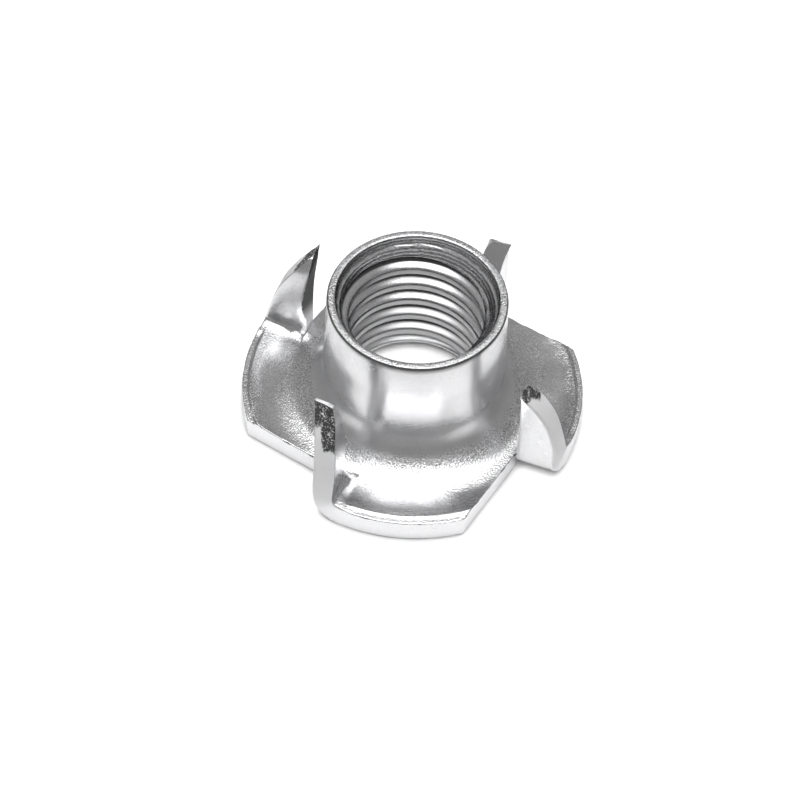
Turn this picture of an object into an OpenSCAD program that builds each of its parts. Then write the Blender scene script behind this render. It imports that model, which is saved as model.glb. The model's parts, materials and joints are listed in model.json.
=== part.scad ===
// Pronged tee nut, pressed from one piece of sheet metal: a drawn and tapped
// barrel stands on a round flange, and four segments of the flange are sheared
// along a chord and folded up as prongs.
// +Z runs up along the barrel, and the flange's flat underside lies on z = 0.

/* [Flange] */
// Diameter across the flange's round edges
flange_d = 22; // [18:0.5:27]
// Thickness of the flange's sheet
sheet_t = 1.65; // [1.35:0.05:2]
// Radius rolled over along the flange's upper round edge
rim_roll = 0.3; // [0.1:0.05:0.5]
// How far each straight sheared edge lies inside the round edge
shear_in = 2.63; // [2.1:0.01:3.2]

/* [Barrel] */
// Overall height, from the underside to the barrel's rim
nut_h = 10.3; // [8.5:0.1:12.5]
// Outer diameter of the barrel
barrel_d = 11.4; // [10.8:0.1:13.7]
// Radius of the drawn neck between the flange and the barrel
neck_r = 2.75; // [2.2:0.05:3.3]
// Chamfer on the rim's outer edge
rim_chamfer = 0.16; // [0.1:0.02:0.3]

/* [Bore] */
// Diameter of the bore, over the crests of the thread
bore_d = 8.5; // [7:0.1:9.3]
// Depth of the cone that leads in from the rim
lead_depth = 1.25; // [0.8:0.05:1.6]
// Width of the flat land left on the rim
rim_land = 0.34; // [0.2:0.02:0.5]
// Chamfer between that cone and the rim
mouth_chamfer = 0.2; // [0.1:0.02:0.3]
// Radius at which the sheet turns up into the bore, on the underside
draw_r = 1.25; // [0.8:0.05:1.6]

/* [Prongs] */
// Height of the prongs' tips above the underside
prong_h = 8.36; // [6.8:0.02:10.2]
// Thickness of a prong
prong_t = 1.43; // [1.15:0.01:1.65]
// How far a prong's straight inner edge lies inside the shear
prong_back = 0.37; // [0:0.01:0.6]
// How far a prong's curved edge lies inside the flange's edge, at its root
root_in = 0.43; // [0.2:0.01:0.7]
// Height at which the curved edge starts to close in on the tip
root_z = 1.95; // [1.6:0.05:2.4]
// Distance from the nut's axis to a prong's outer face
fold_out = 2.88; // [2.6:0.02:3.5]
// Angle between a prong and the line square to its shear
fold_turn = 12.8; // [0:0.2:20]
// Radius of the bend on the outer face
bend_out_r = 2.3; // [1.8:0.05:2.6]
// Radius of the bend on the inner face
bend_in_r = 0.85; // [0.5:0.05:1.1]
// Height at which a prong starts to curl outwards
curl_z = 3.0; // [2.6:0.1:4]
// Radius of that curl, on the outer face
curl_r = 20.5; // [16:0.5:25]

/* [Hidden] */
$fn = 96;
prongs = 4;
flange_r = flange_d / 2;
barrel_r = barrel_d / 2;
bore_r = bore_d / 2;
// Distance from the axis to the sheared edges
shear_d = flange_r - shear_in;
// Radius at the top of the lead-in cone, inside the rim's land and chamfers
lead_r = barrel_r - rim_chamfer - rim_land - mouth_chamfer;
// A prong's straight edge and the root of its curved edge, from the axis
edge_in = shear_d - prong_back;
edge_out = flange_r - root_in;
// Radius of the curved edge: upright at its root, and through the tip
prong_run = edge_out - edge_in;
prong_rise = prong_h - root_z;
edge_r = (prong_run * prong_run + prong_rise * prong_rise) / (2 * prong_run);
edge_c = edge_out - edge_r;
// Where the line from the flange's top corner touches the curved edge
corner_gap = [flange_r - edge_c, sheet_t - root_z];
touch_a = atan2(corner_gap[1], corner_gap[0]) + acos(edge_r / norm(corner_gap));
touch = [edge_c + edge_r * cos(touch_a), root_z + edge_r * sin(touch_a)];
// A prong's faces, and where its bend starts
fold_in = fold_out - prong_t;
bend_start = fold_out - bend_out_r;

// Flange, neck and barrel as one section, before the bore is cut
module outer_section() {
    square([flange_r - rim_roll, sheet_t]);
    square([flange_r, sheet_t - rim_roll]);
    translate([flange_r - rim_roll, sheet_t - rim_roll]) circle(rim_roll);
    polygon([[0, 0], [barrel_r, 0], [barrel_r, nut_h - rim_chamfer],
        [barrel_r - rim_chamfer, nut_h], [0, nut_h]]);
    difference() {
        translate([bore_r, sheet_t / 2])
            square([barrel_r + neck_r - bore_r, sheet_t / 2 + neck_r]);
        translate([barrel_r + neck_r, sheet_t + neck_r]) circle(neck_r);
    }
}

// The bore with its lead-in cone, and the rounded mouth on the underside
module bore_section() {
    translate([0, -1]) square([bore_r, nut_h + 2]);
    polygon([[0, nut_h - lead_depth], [bore_r, nut_h - lead_depth],
        [lead_r, nut_h - mouth_chamfer], [lead_r + mouth_chamfer, nut_h],
        [lead_r + mouth_chamfer, nut_h + 1], [0, nut_h + 1]]);
    difference() {
        translate([0, -1]) square([bore_r + draw_r, draw_r + 1]);
        translate([bore_r + draw_r, draw_r]) circle(draw_r);
    }
}

// What one shear takes from the flange: all beyond it, up to where the fold starts
module sheared_off() {
    translate([0, 0, -1]) linear_extrude(sheet_t + neck_r + 2) intersection() {
        translate([shear_d, -2 * flange_r]) square([flange_r, 4 * flange_r]);
        rotate(fold_turn) translate([0, -3 * flange_r - bend_start])
            square([3 * flange_r, 3 * flange_r]);
    }
}

// Section of one prong across its fold: x is square to the prong, y is up
module bend_section() {
    // Foot inside the flange, and the bend
    difference() {
        union() {
            translate([bend_start - sheet_t, 0])
                square([sheet_t, sheet_t]);
            intersection() {
                translate([bend_start, bend_out_r]) circle(bend_out_r);
                translate([bend_start, 0]) square([bend_out_r, bend_out_r]);
            }
            translate([bend_start, bend_out_r])
                square([bend_out_r, curl_z - bend_out_r]);
        }
        translate([fold_in - bend_in_r, sheet_t + bend_in_r]) circle(bend_in_r);
        translate([bend_start - sheet_t, sheet_t + bend_in_r])
            square([fold_in - bend_start + sheet_t, curl_z]);
        translate([bend_start - sheet_t, sheet_t])
            square([fold_in - bend_in_r - bend_start + sheet_t, curl_z]);
    }
    // The blade, curling outwards
    intersection() {
        translate([fold_in, curl_z]) square([curl_r, prong_h - curl_z]);
        difference() {
            translate([fold_out + curl_r, curl_z]) circle(curl_r + prong_t);
            translate([fold_out + curl_r, curl_z]) circle(curl_r);
        }
    }
}

// Side view of one prong along its fold: x is the distance out from the axis, y is up
module blade_outline() {
    intersection() {
        union() {
            translate([edge_c, root_z]) circle(edge_r);
            polygon([[edge_in, 0], [flange_r + 1, 0], [flange_r + 1, sheet_t],
                [flange_r, sheet_t], touch, [edge_in, touch[1]]]);
        }
        translate([edge_in, 0]) square([flange_r, prong_h]);
    }
}

module prong() {
    rotate([0, 0, fold_turn]) intersection() {
        translate([edge_in, 0, 0]) rotate([90, 0, 90]) mirror([1, 0, 0])
            linear_extrude(flange_r) bend_section();
        translate([0, 2 * sheet_t, 0]) rotate([90, 0, 0])
            linear_extrude(2 * sheet_t + 2 * fold_out) blade_outline();
        translate([0, 0, -1]) cylinder(h = prong_h + 2, r = flange_r);
    }
}

module tee_nut() {
    color("silver") union() {
        difference() {
            rotate_extrude() difference() {
                outer_section();
                bore_section();
            }
            for (i = [0 : prongs - 1]) rotate([0, 0, i * 360 / prongs]) sheared_off();
        }
        for (i = [0 : prongs - 1]) rotate([0, 0, i * 360 / prongs]) prong();
    }
}

tee_nut();
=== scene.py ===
# %% [markdown]
# # A pronged tee nut
#
# A tee nut is one pressing: a round blank of sheet steel is drawn up into a barrel, the barrel is
# tapped, and four segments of the flange are sheared along a chord and folded up as prongs that
# bite into wood. It could be carved with boolean cuts, but cut edges shade badly where soft shapes
# meet. So every surface is worked out with numpy as a grid of points, the grids share their border
# points, and merging those closes the skin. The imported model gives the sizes, and this script
# gives the true surface and the finish of a bright zinc plate.

import json

import bmesh
import bpy
import numpy as np
from mathutils import Matrix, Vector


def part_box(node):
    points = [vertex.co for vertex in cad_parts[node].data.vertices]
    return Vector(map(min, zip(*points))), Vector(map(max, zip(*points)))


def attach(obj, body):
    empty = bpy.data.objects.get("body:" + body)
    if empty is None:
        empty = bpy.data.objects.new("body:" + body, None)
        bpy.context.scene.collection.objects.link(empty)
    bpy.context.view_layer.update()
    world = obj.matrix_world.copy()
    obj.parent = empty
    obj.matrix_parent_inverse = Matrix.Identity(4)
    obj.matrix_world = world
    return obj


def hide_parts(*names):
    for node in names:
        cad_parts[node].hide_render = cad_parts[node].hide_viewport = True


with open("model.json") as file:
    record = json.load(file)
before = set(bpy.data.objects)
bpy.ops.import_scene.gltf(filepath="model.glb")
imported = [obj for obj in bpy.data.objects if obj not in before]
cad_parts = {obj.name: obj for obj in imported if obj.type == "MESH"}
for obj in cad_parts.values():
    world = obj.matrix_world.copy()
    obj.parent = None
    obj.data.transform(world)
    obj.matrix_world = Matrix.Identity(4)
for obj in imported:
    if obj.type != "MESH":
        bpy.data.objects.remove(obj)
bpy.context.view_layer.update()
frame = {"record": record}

# %% [markdown]
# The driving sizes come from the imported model: its box gives the flange and the height, its mounts
# give the bore, the barrel and the thickness of the sheet. They could be typed in again, but then
# the two models could drift apart. Everything below is in millimetres, the unit of the drawing,
# and turns into metres only when the mesh is made.

# %% Sizes
MM = 0.001
low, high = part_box("tee_nut")
mounts = {m["name"]: m for m in frame["record"]["mounts"]}

FLANGE_R = (high.x - low.x) / 2 / MM
NUT_H = high.z / MM
BARREL_R = mounts["barrel"]["dims"]["r_mm"]
CREST_R = mounts["thread"]["dims"]["r_mm"]
SHEET_T = mounts["seat"]["pos_m"][2] / MM

NECK_R = 2.5                   # drawn radius between barrel and flange
SWELL = 0.19                   # how much the barrel widens before the neck
SHEAR_D = FLANGE_R - 2.63      # the sheared edges' distance from the axis
EDGE_IN = SHEAR_D - 0.37       # a prong's straight edge, from the axis
PRONG_T = 1.43                 # a prong's thickness, because the fold thins the sheet
FOLD_TURN = np.radians(12.8)   # a prong against the line square to its shear
FOLD_OUT = 2.88                # a prong's outer face, from the axis
BEND_OUT_R = 2.3               # the wide bend of the outer face
BEND_START = FOLD_OUT - BEND_OUT_R
CURL_Z = 3.0                   # above this height a prong curls outwards
CURL_R = 20.5                  # radius of that curl
print(f"flange {2 * FLANGE_R:.1f} mm across, barrel {2 * BARREL_R:.1f}, height {NUT_H:.1f}")

# %% [markdown]
# The outline of the flange repeats every quarter turn, so it is described once and turned. Seen
# from above and going anticlockwise, a quarter starts on a fold, follows the round edge to a sharp
# corner, then follows the next shear back inwards to the end of its slit, which is the next fold.
# A prong has axes of its own, turned a little against the shear, as its punch was.

# %% Points in plan
QUARTER = np.pi / 2


def polar(radius, angle):
    """Plan points at a radius and an angle: x is radius * cos(angle), y is radius * sin(angle)."""
    return np.stack([radius * np.cos(angle), radius * np.sin(angle)], -1)


def angle_of(point):
    """The angle of a plan point about the axis: the arc tangent of y over x."""
    return np.arctan2(point[..., 1], point[..., 0])


def fold_plan(along, square):
    """Plan points in a prong's own axes: a distance out along its fold and a distance square to
    it, each times its axis, and added."""
    c, s = np.cos(FOLD_TURN), np.sin(FOLD_TURN)
    return np.stack([along * c + square * s, along * s - square * c], -1)


def quarter_turned(point, turns=1):
    """A plan point turned about the axis by a number of quarter turns."""
    c, s = np.round(np.cos(turns * QUARTER)), np.round(np.sin(turns * QUARTER))
    return point @ np.array([[c, s], [-s, c]])


SLIT_END = fold_plan(EDGE_IN, BEND_START)
FOLD_END = fold_plan(np.sqrt(FLANGE_R**2 - BEND_START**2), BEND_START)
CORNER = polar(FLANGE_R, QUARTER - np.arccos(SHEAR_D / FLANGE_R))
print("slit's end", SLIT_END.round(2), "fold's end", FOLD_END.round(2), "corner", CORNER.round(2))

# %% [markdown]
# All grids have the same columns, so that neighbours share their border points. The columns could
# be spread evenly, but the surface turns quickly at a fold and at a corner, so they crowd together
# there and spread out between.

# %% Columns of the quarter
EDGE_W = 0.75          # width along the outline that gets fine rows
LOBE_COLS, SHEAR_COLS = 36, 44
FOLD_A = angle_of(fold_plan(EDGE_IN - EDGE_W, BEND_START))
CORNER_A = angle_of(CORNER)


def eased(count, ends=0.55):
    """count + 1 values from 0 to 1, closer together near both ends: u - ends * sin(2 pi u) / 2 pi."""
    u = np.linspace(0, 1, count + 1)
    return u - ends * np.sin(2 * np.pi * u) / (2 * np.pi)


lobe_u, shear_u = eased(LOBE_COLS), eased(SHEAR_COLS)
lobe_a = FOLD_A + (CORNER_A - FOLD_A) * lobe_u
shear_a = CORNER_A + (FOLD_A + QUARTER - CORNER_A) * shear_u
quarter_a = np.concatenate([lobe_a, shear_a[1:]])
print(f"fold at {np.degrees(FOLD_A):.1f} deg, corner at {np.degrees(CORNER_A):.1f} deg")
print(len(quarter_a), "columns in a quarter")

# %% [markdown]
# Freeing a prong leaves a straight sheared edge on the flange, and a narrow slit that leads on to
# the fold. Both are straight lines, and a straight line is easy to meet from the axis: its distance
# divided by the cosine of the angle to it. The nearer of the two lines is the edge.

# %% Inner outline of the quarter
SLIT_GAP = 0.02        # the slit between a prong's straight edge and the flange, at its open end
SLIT_START_Y = (EDGE_IN - SLIT_GAP - SHEAR_D * np.cos(FOLD_TURN)) / np.sin(FOLD_TURN)
SLIT_START = np.array([SHEAR_D, SLIT_START_Y])


def line_radius(a, b, angle):
    """Distance from the axis, at each angle, to the straight line through plan points a and b:
    the line's normal times a, divided by the normal times the angle's direction."""
    normal = np.array([b[1] - a[1], a[0] - b[0]])
    return normal @ a / (normal[0] * np.cos(angle) + normal[1] * np.sin(angle))


def shear_radius(angle):
    """Distance from the axis to the sheared edge: the nearer of the chord and the slit's side."""
    local = angle - QUARTER
    return np.minimum(SHEAR_D / np.cos(local), line_radius(SLIT_START, SLIT_END, local))


# Where each column of the quarter crosses the inner outline: a straight line from the slit's end
# to the corner under the lobe, then the free sheared edge.
lobe_in_a = angle_of(SLIT_END) + (CORNER_A - angle_of(SLIT_END)) * lobe_u
lobe_in = polar(line_radius(SLIT_END, CORNER, lobe_in_a), lobe_in_a)
lobe_out = polar(FLANGE_R, angle_of(FOLD_END) + (CORNER_A - angle_of(FOLD_END)) * lobe_u)
shear_in_a = CORNER_A + (angle_of(SLIT_END) + QUARTER - CORNER_A) * shear_u
shear_in = polar(shear_radius(shear_in_a), shear_in_a)
quarter_in = np.concatenate([lobe_in, shear_in[1:]])
quarter_in_r = np.linalg.norm(quarter_in, axis=-1)
print(f"inner outline from {quarter_in_r.min():.2f} to {quarter_in_r.max():.2f} mm off the axis")

# %% [markdown]
# The upper side of the sheet is one height function of the place in plan. The drawn neck is a
# quarter circle that runs out into a shallow dish. Along the round edge lies a flat margin where
# the stripper plate held the blank, and the edges themselves are broken a little. Modelled as a
# formula rather than sculpted, each of these can be changed by one number.

# %% Height of the upper side
DISH_LOW, DISH_R = 0.048, 9.0          # depth of the dish below the sheet's face, and where it is
DISH_IN, DISH_OUT = 0.079, 0.085       # how fast it rises inwards and outwards
TAIL_R = 8.0                           # where the quarter circle has run out into the dish
DISH_END = 10.5                        # where the dish stops rising
MARGIN_W, MARGIN_UP = 0.42, 0.05       # the margin along the round edge, and its height over the face
MARGIN_FADE = 1.25, 0.8                # shares of its width between which it starts
MARGIN_FOLD = 0.6                      # distance from a fold over which it fades
ARC_BREAK, ARC_BREAK_W = 0.035, 0.07   # how far the round edge is broken down, and over what width
SHEAR_BREAK, SHEAR_BREAK_W = 0.012, 0.05


def smooth(edge0, edge1, value):
    """0 at edge0, 1 at edge1, held beyond them, and 3 t^2 - 2 t^3 between."""
    t = np.clip((value - edge0) / (edge1 - edge0), 0, 1)
    return t * t * (3 - 2 * t)


def to_segment(points, a, b):
    """Distance in plan from each point to the segment from a to b, by its nearest point on it."""
    ab = b - a
    t = np.clip((points - a) @ ab / (ab @ ab), 0, 1)
    return np.linalg.norm(points - a - t[..., None] * ab, axis=-1)


def edge_distances(points):
    """Distances in plan to a quarter's round edge, to its sheared edge and to its fold line."""
    arc = FLANGE_R - np.linalg.norm(points, axis=-1)
    fold = BEND_START - points @ np.array([np.sin(FOLD_TURN), -np.cos(FOLD_TURN)])
    return np.maximum(arc, 0), to_segment(points, CORNER, quarter_turned(SLIT_START)), fold


def sheet_top(radius):
    """Height of the upper side away from its edges: the neck's circle, then the dish, which is a
    parabola on each side of its lowest ring."""
    inside = np.clip(BARREL_R + SWELL + NECK_R - radius, 0, NECK_R)
    neck = SHEET_T + NECK_R - np.sqrt(NECK_R**2 - inside**2)
    bend = np.where(radius < DISH_R, DISH_IN, DISH_OUT)
    dish = SHEET_T - DISH_LOW + bend * (np.minimum(radius, DISH_END) - DISH_R) ** 2
    return np.where(radius < TAIL_R, neck, dish)


def edge_drop(distance, depth, width):
    """How far a broken edge lies below the face: depth * (1 - distance / width) squared."""
    return depth * np.clip(1 - distance / width, 0, 1) ** 2


def top_height(points):
    """Height of the upper side at plan points of the quarter: the face, raised to the margin, less
    the two broken edges."""
    arc, shear, fold = edge_distances(points)
    height = sheet_top(np.linalg.norm(points, axis=-1))
    on_margin = smooth(*MARGIN_FADE, arc / MARGIN_W) * smooth(0, MARGIN_FOLD, fold)
    height = height + (SHEET_T + MARGIN_UP - height) * on_margin
    height = height - edge_drop(arc, ARC_BREAK, ARC_BREAK_W)
    return height - edge_drop(shear, SHEAR_BREAK, SHEAR_BREAK_W)


print("height of the dish where it is lowest:", sheet_top(DISH_R).round(3), "mm")

# %% [markdown]
# The thread is a function of height and angle. Going up one pitch or once round the axis brings
# the same point of the tooth, so the phase is height / pitch - angle / turn. The tooth is a
# 60 degree ridge with rounded corners. It could be swept along a helix and cut out, but its start
# and end would be ragged. The lead-in cone at the rim and the drawn mouth below are wider than the
# bore, so the wall is simply the widest of the three, blended a little.

# %% Thread, lead-in and drawn mouth
PITCH = 1.5
ROOT_R = 4.8
CREST_W = 0.52
TOOTH_SLOPE = np.tan(np.radians(60))
CREST_AT = (7.86, np.radians(120.5))   # height and angle of one point on the crest
LEAD_R, LEAD_LOW_R = 5.1, 4.5          # the lead-in, at its top and its lower end
LEAD_TOP = NUT_H - 0.2
LEAD_LOW = NUT_H - 1.35
LEDGE_Z, LEDGE_R = (NUT_H - 0.64, NUT_H - 0.5), (4.84, 5.06)   # the ledge in it
MOUTH_LOW_R = BARREL_R - 0.2           # the drawn mouth where it meets the underside
DRAW_R = MOUTH_LOW_R - CREST_R         # and its radius
UNDER_CREST = 0.3                      # below the lead-in its line drops this far under the crests


def soft_max(values, sharp=26):
    """A maximum with rounded corners: the log of the sum of exponentials."""
    stack = np.stack(np.broadcast_arrays(*values)) * sharp
    top = stack.max(0)
    return (top + np.log(np.exp(stack - top).sum(0))) / sharp


def soft_clip(t, sharp=18):
    """t held between 0 and 1 with rounded corners: the difference of two soft ramps."""
    return (np.logaddexp(0, sharp * t) - np.logaddexp(0, sharp * (t - 1))) / sharp


def bore_radius(z, angle):
    """Radius of the bore's wall at a height and an angle: the soft maximum of the tooth, the
    lead-in's lines and the drawn mouth's quarter circle."""
    phase = (z - CREST_AT[0]) / PITCH - (angle - CREST_AT[1]) / (2 * np.pi)
    off_crest = np.abs(phase - np.round(phase)) * PITCH
    rise = (off_crest - CREST_W / 2) * TOOTH_SLOPE / (ROOT_R - CREST_R)
    tooth = CREST_R + (ROOT_R - CREST_R) * soft_clip(rise)
    lead = np.interp(z, [LEAD_LOW - 0.12, LEAD_LOW, *LEDGE_Z, LEAD_TOP],
                     [CREST_R - UNDER_CREST, LEAD_LOW_R, *LEDGE_R, LEAD_R])
    mouth = MOUTH_LOW_R - np.sqrt(np.clip(DRAW_R**2 - (z - DRAW_R) ** 2, 0, None))
    mouth = np.where(z < DRAW_R, mouth, CREST_R - 3 * (z - DRAW_R))
    return soft_max([tooth, lead, mouth])


print(f"thread {2 * ROOT_R:.1f} mm over the roots, {2 * CREST_R:.1f} over the crests, pitch {PITCH}")

# %% [markdown]
# The bore's rows climb as the thread does, one pitch in each turn, so that they run along the
# ridges and a few rows are enough to draw them crisply. At the top and the bottom the rows are
# held on a level ring, and what falls together there is merged later.

# %% Bore wall
BORE_FOOT = 0.1
ROWS_PER_PITCH = 16

ring_a = np.concatenate([quarter_a[:-1] + k * QUARTER for k in range(4)] + [[FOLD_A + 2 * np.pi]])
rows = np.arange(-ROWS_PER_PITCH, int((LEAD_TOP - BORE_FOOT) / PITCH * ROWS_PER_PITCH) + 2)
climb = rows[:, None] / ROWS_PER_PITCH + (ring_a - FOLD_A)[None, :] / (2 * np.pi)
bore_z = np.clip(BORE_FOOT + PITCH * climb, BORE_FOOT, LEAD_TOP)
bore_xy = polar(bore_radius(bore_z, ring_a[None, :]), np.broadcast_to(ring_a, bore_z.shape))
bore = np.concatenate([bore_xy, bore_z[..., None]], -1)
print("bore grid:", bore.shape[:2])

# %% [markdown]
# Rim, barrel and neck are one profile carried round the axis, as if turned on a lathe. Blender's
# Screw or Spin would do the same, but a grid keeps the columns that the flange needs. The draw
# left the barrel a little narrower at the rim and a little wider above the neck.

# %% Rim, barrel and neck
TAPER, TAPER_FROM = 0.06, 6.9          # the barrel narrows a little towards the rim
SWELL_FROM, SWELL_TO = 6.9, 3.2        # heights between which it widens
MOUTH_R = LEAD_R + 0.1
FLAT_FROM = 7.0                        # where the profile ends and the flange's rows begin


def at_height(xy, z):
    """Plan points and a height, or an array of heights, put together as (x, y, z)."""
    return np.concatenate([xy, np.broadcast_to(z, xy.shape[:-1])[..., None]], -1)


# The rim's section: a flat land with a small roll to the inside and a wider one to the outside.
rim_out = np.array([-0.1, -0.095, -0.085, -0.06, 0.1, 0.3, 0.335, 0.37, 0.4, 0.425, 0.44])
rim_r = MOUTH_R + rim_out
rim_z = NUT_H - np.array([0.15, 0.08, 0.03, 0.0, 0.0, 0.0, 0.008, 0.03, 0.07, 0.12, 0.2])
barrel_z = np.linspace(rim_z[-1], SHEET_T + NECK_R, 21)[1:]
taper_share = np.clip(barrel_z - TAPER_FROM, 0, None) / (rim_z[-1] - TAPER_FROM)
barrel_r = BARREL_R - TAPER * taper_share**2
neck_turn = np.linspace(0, np.arccos((BARREL_R + SWELL + NECK_R - FLAT_FROM) / NECK_R), 19)[1:]
neck_r = BARREL_R + SWELL + NECK_R * (1 - np.cos(neck_turn))
neck_z = SHEET_T + NECK_R * (1 - np.sin(neck_turn))
profile_z = np.concatenate([rim_z, barrel_z, neck_z])
swell = SWELL * smooth(SWELL_FROM, SWELL_TO, profile_z)
profile_r = np.concatenate([rim_r, barrel_r, neck_r - SWELL]) + swell
profile_r[-1] = FLAT_FROM
stem = at_height(polar(profile_r[:, None], quarter_a[None, :]), profile_z[:, None])
print("stem:", stem.shape[:2], "profile of", len(profile_r), "points")

# %% [markdown]
# The flange carries on from the neck until it reaches the outline. Its rows start as a circle and
# end as the outline, and each point takes its height from the one height function. Beyond the
# inner outline, the lobe between fold and corner is a ribbon out to the round edge.

# %% Flange
TOP_ROWS, EDGE_ROWS = 10, 14


def between(start, end, steps, ends=0.0):
    """Rows from start to end: start + t * (end - start), with steps + 1 values of t."""
    t = eased(steps, ends).reshape((-1,) + (1,) * start.ndim)
    return start + t * (end - start)


fine_start = polar(quarter_in_r - EDGE_W, quarter_a)
plan = np.concatenate([between(polar(FLAT_FROM, quarter_a), fine_start, TOP_ROWS),
                       between(fine_start, quarter_in, EDGE_ROWS)[1:]])
top = at_height(plan, top_height(plan))
top[0] = stem[-1]

# Shares across the lobe and the prong: a few wide steps, then fine ones near the curved edge.
ribbon_t = np.concatenate([[0, 0.015, 0.045, 0.1, 0.2, 0.32, 0.44, 0.56, 0.66, 0.73],
                           np.linspace(0.77, 1, 14)])
lobe_plan = lobe_in + ribbon_t[:, None, None] * (lobe_out - lobe_in)
lobe_top = at_height(lobe_plan, top_height(lobe_plan))
lobe_top[0] = top[-1, :LOBE_COLS + 1]
shear_top = top[-1, LOBE_COLS:]
print("top:", top.shape[:2], "lobe:", lobe_top.shape[:2])

# %% [markdown]
# The walls of the cut edges drop straight down to a rounded foot, where the shear pulled the metal
# with it, and keep a burr above. A Bevel modifier would round every edge alike, so the rounding is
# part of the grid. At the end of a slit it fades out, so that the prong's root closes.

# %% Cut edges
ROLL_R = 0.2                           # the shear rolled the lower edges round
WALL_ROWS = 10
SLIT_FADE = 0.12                       # share of a lobe or a shear over which the rounding fades
foot_turn = np.radians([0, 30, 60, 90])
foot_inset = 1 - np.cos(foot_turn)     # both for a radius of 1
foot_height = 1 - np.sin(foot_turn)


def edge_wall(upper_edge, roll):
    """Rows from the upper edge straight down to the foot, and then round it with radius roll."""
    radius = np.linalg.norm(upper_edge[:, :2], axis=-1)
    shrink = 1 - foot_inset[:, None] * roll / radius
    foot = at_height(upper_edge[None, :, :2] * shrink[..., None], ROLL_R * foot_height[:, None])
    return np.concatenate([between(upper_edge, foot[0], WALL_ROWS), foot[1:]])


slit_share = np.concatenate([smooth(0, SLIT_FADE, lobe_u), smooth(0, SLIT_FADE, 1 - shear_u[1:])])
lobe_wall = edge_wall(lobe_top[-1], ROLL_R)
shear_wall = edge_wall(shear_top, ROLL_R * slit_share[LOBE_COLS:])
print("walls:", lobe_wall.shape[:2], shear_wall.shape[:2])

# %% [markdown]
# The underside is flat, and runs back in to the mouth that the draw left round the bore. Nobody
# sees much of it, but a closed skin needs it, and a part that is picked up shows it.

# %% Underside
BASE_ROWS, MOUTH_ROWS = 8, 9
base_in = quarter_in * (1 - ROLL_R * slit_share / quarter_in_r)[:, None]
base_in[LOBE_COLS:] = shear_wall[-1, :, :2]
lobe_base = at_height(between(lobe_wall[-1, :, :2], base_in[:LOBE_COLS + 1], BASE_ROWS, 0.5), 0.0)

mouth_turn = np.arccos(1 - BORE_FOOT / DRAW_R) * np.array([0.4, 0.7])
mouth_r = MOUTH_LOW_R - DRAW_R * np.sin(mouth_turn)
mouth_z = DRAW_R * (1 - np.cos(mouth_turn))
base = np.concatenate([
    at_height(between(base_in, polar(MOUTH_LOW_R, quarter_a), MOUTH_ROWS), 0.0),
    at_height(polar(mouth_r[:, None], quarter_a[None, :]), mouth_z[:, None]),
])
print("underside:", lobe_base.shape[:2], base.shape[:2])

# %% [markdown]
# A prong is a skin of closed loops that travel from the fold up to the tip. A thickened sheet with
# a bend would be quicker, but the real prong's two faces bend differently. Each point of a loop
# has two shares: how far along from the straight edge to the curved one, and how deep from the
# inner face to the outer one. At the root the loop is exactly the hole that the fold leaves in
# the flange, and the shares drift from there to those of the blade over the first part of the bend.

# %% Prong: the loop at the root


def turned(grid, turns):
    """The same grid, turned about the axis by quarter turns."""
    out = grid.copy()
    out[..., :2] = quarter_turned(grid[..., :2], turns)
    return out


loop_top = lobe_top[:, 0]
loop_out = lobe_wall[1:, 0]
loop_base = lobe_base[1:, 0]
loop_in = turned(shear_wall[:, -1], -1)[::-1][1:]
root_loop = np.concatenate([loop_top, loop_out, loop_base, loop_in])
counts = [len(loop_top), len(loop_out), len(loop_base), len(loop_in)]
print("root loop:", counts, "closes within", np.abs(root_loop[0] - root_loop[-1]).max(), "mm")

# %% [markdown]
# The curved edge of a prong was part of the blank's round edge before the fold. It could be found
# by bending that circle, but a plain arc up to the tip and a straight line below it are as close
# and easier to read. In these functions s is the distance out along the fold, n the distance
# square to it, both from the axis, and z the height.

# %% Prong: its curved edge
EDGE_ARC_S, EDGE_ARC_Z, EDGE_ARC_R = 1.30, 1.95, 9.28   # the arc's middle, s and z, and its radius
TOUCH_Z = 4.42                                          # height where the line meets the arc
touch_s = EDGE_ARC_S + np.sqrt(EDGE_ARC_R**2 - (TOUCH_Z - EDGE_ARC_Z) ** 2)


def curved_edge(n, z):
    """How far out the curved edge lies: the nearer of the flange's round edge, the line and the arc."""
    line = FLANGE_R + (z - SHEET_T) * (touch_s - FLANGE_R) / (TOUCH_Z - SHEET_T)
    arc = EDGE_ARC_S + np.sqrt(np.clip(EDGE_ARC_R**2 - (z - EDGE_ARC_Z) ** 2, 0, None))
    side = np.where(z < TOUCH_Z, line, arc)
    rim = np.sqrt(FLANGE_R**2 - n**2)
    return -soft_max([-side, -rim], sharp=14)


print(f"the curved edge's line meets its arc {touch_s:.2f} mm out at {TOUCH_Z} mm high")

# %% [markdown]
# The two faces of a prong bend differently: the outer one is wide, because the metal stretched,
# and the inner one meets the flange in a tight crease. Above the bend they rise, curl gently
# outwards and draw together to a ridge. A station says how far up the prong a loop has come.

# %% Prong: its faces
CREASE_R, CREASE_SLOPE = 0.38, np.radians(15)
CREASE_AT = 0.4                    # station where the crease begins
CREASE_SHARE = 0.07, 0.6           # shares along the fold between which it becomes tight
BEND_POWER = 0.7                   # 1 would make the outer bend a quarter circle, less squares it off
TIP_FROM = 7.2                     # above this height a prong draws in to its ridge
TIP_OUT, TIP_IN = 8.34, 8.2        # height of the ridge at the outer and the inner face
TIP_THIN = 0.22                    # how much of its thickness the inner face gives up there
TIP_THINS = 7.0, 8.3               # and the heights between which it does
RIDGE_RISE = 0.9                   # stations above 3 in which the ridge is reached


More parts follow.
